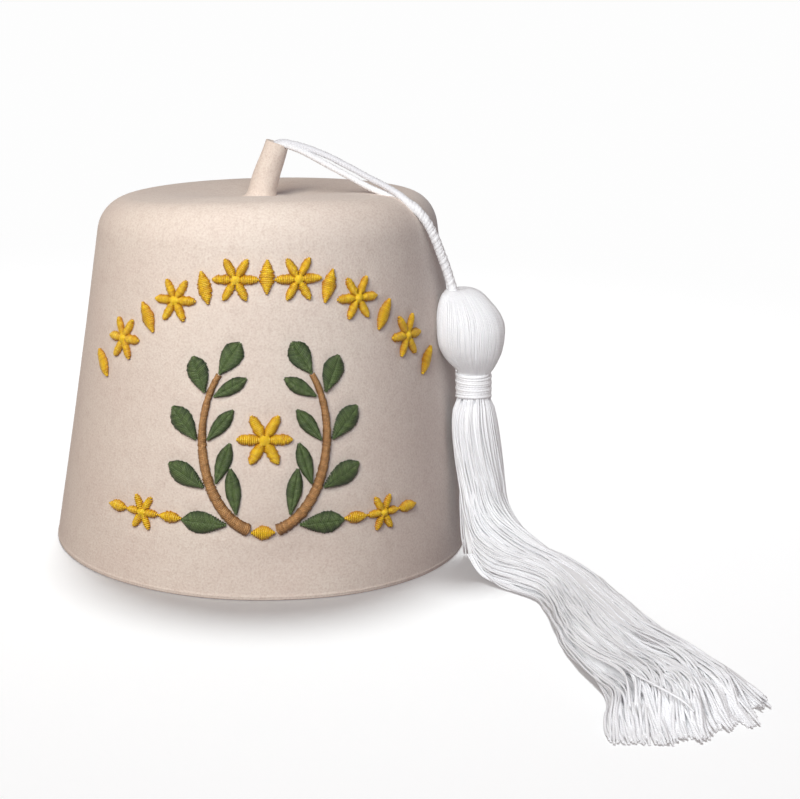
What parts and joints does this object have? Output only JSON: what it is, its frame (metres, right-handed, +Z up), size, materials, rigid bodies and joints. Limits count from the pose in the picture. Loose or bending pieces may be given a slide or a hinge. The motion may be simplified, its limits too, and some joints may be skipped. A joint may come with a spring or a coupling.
{
  "type": "fez hat",
  "caption": "Tapered white felt fez with a rounded top edge, embroidered front, leaning top stalk and a long white tassel on a limp cord.",
  "frame": {"origin": "middle of the rim circle, on the surface that the hat stands on", "axes": "+Z up through the crown, -Y towards the embroidered front, +X towards the side where the tassel hangs"},
  "size_m": [0.2743, 0.3035, 0.1796],
  "materials": {
    "felt": "matte napped wool felt",
    "white_cord": "satin twisted cord",
    "white_rayon": "lustrous twisted strands",
    "gold_thread": "lustrous satin stitch",
    "green_thread": "lustrous satin stitch",
    "brown_thread": "lustrous satin stitch"
  },
  "bodies": {
    "root": {"arch_lozenge_1": "gold_thread", "arch_lozenge_2": "gold_thread", "arch_lozenge_3": "gold_thread", "arch_lozenge_4": "gold_thread", "arch_lozenge_5": "gold_thread", "arch_lozenge_6": "gold_thread", "arch_lozenge_7": "gold_thread", "arch_rosette_1": "gold_thread", "arch_rosette_2": "gold_thread", "arch_rosette_3": "gold_thread", "arch_rosette_4": "gold_thread", "arch_rosette_5": "gold_thread", "arch_rosette_6": "gold_thread", "crown": "felt", "left_inner_lozenge": "gold_thread", "left_leaf_1": "green_thread", "left_leaf_2": "green_thread", "left_leaf_3": "green_thread", "left_leaf_4": "green_thread", "left_leaf_5": "green_thread", "left_leaf_6": "green_thread", "left_leaf_7": "green_thread", "left_leaf_8": "green_thread", "left_leaf_9": "green_thread", "left_outer_lozenge": "gold_thread", "left_rosette": "gold_thread", "left_stalk": "brown_thread", "neck_binding": "white_rayon", "right_inner_lozenge": "gold_thread", "right_leaf_1": "green_thread", "right_leaf_2": "green_thread", "right_leaf_3": "green_thread", "right_leaf_4": "green_thread", "right_leaf_5": "green_thread", "right_leaf_6": "green_thread", "right_leaf_7": "green_thread", "right_leaf_8": "green_thread", "right_leaf_9": "green_thread", "right_outer_lozenge": "gold_thread", "right_rosette": "gold_thread", "right_stalk": "brown_thread", "stem": "felt", "tassel": "white_rayon", "tassel_cord": "white_cord", "wreath_clasp": "gold_thread", "wreath_rosette": "gold_thread"}
  },
  "joints": []
}
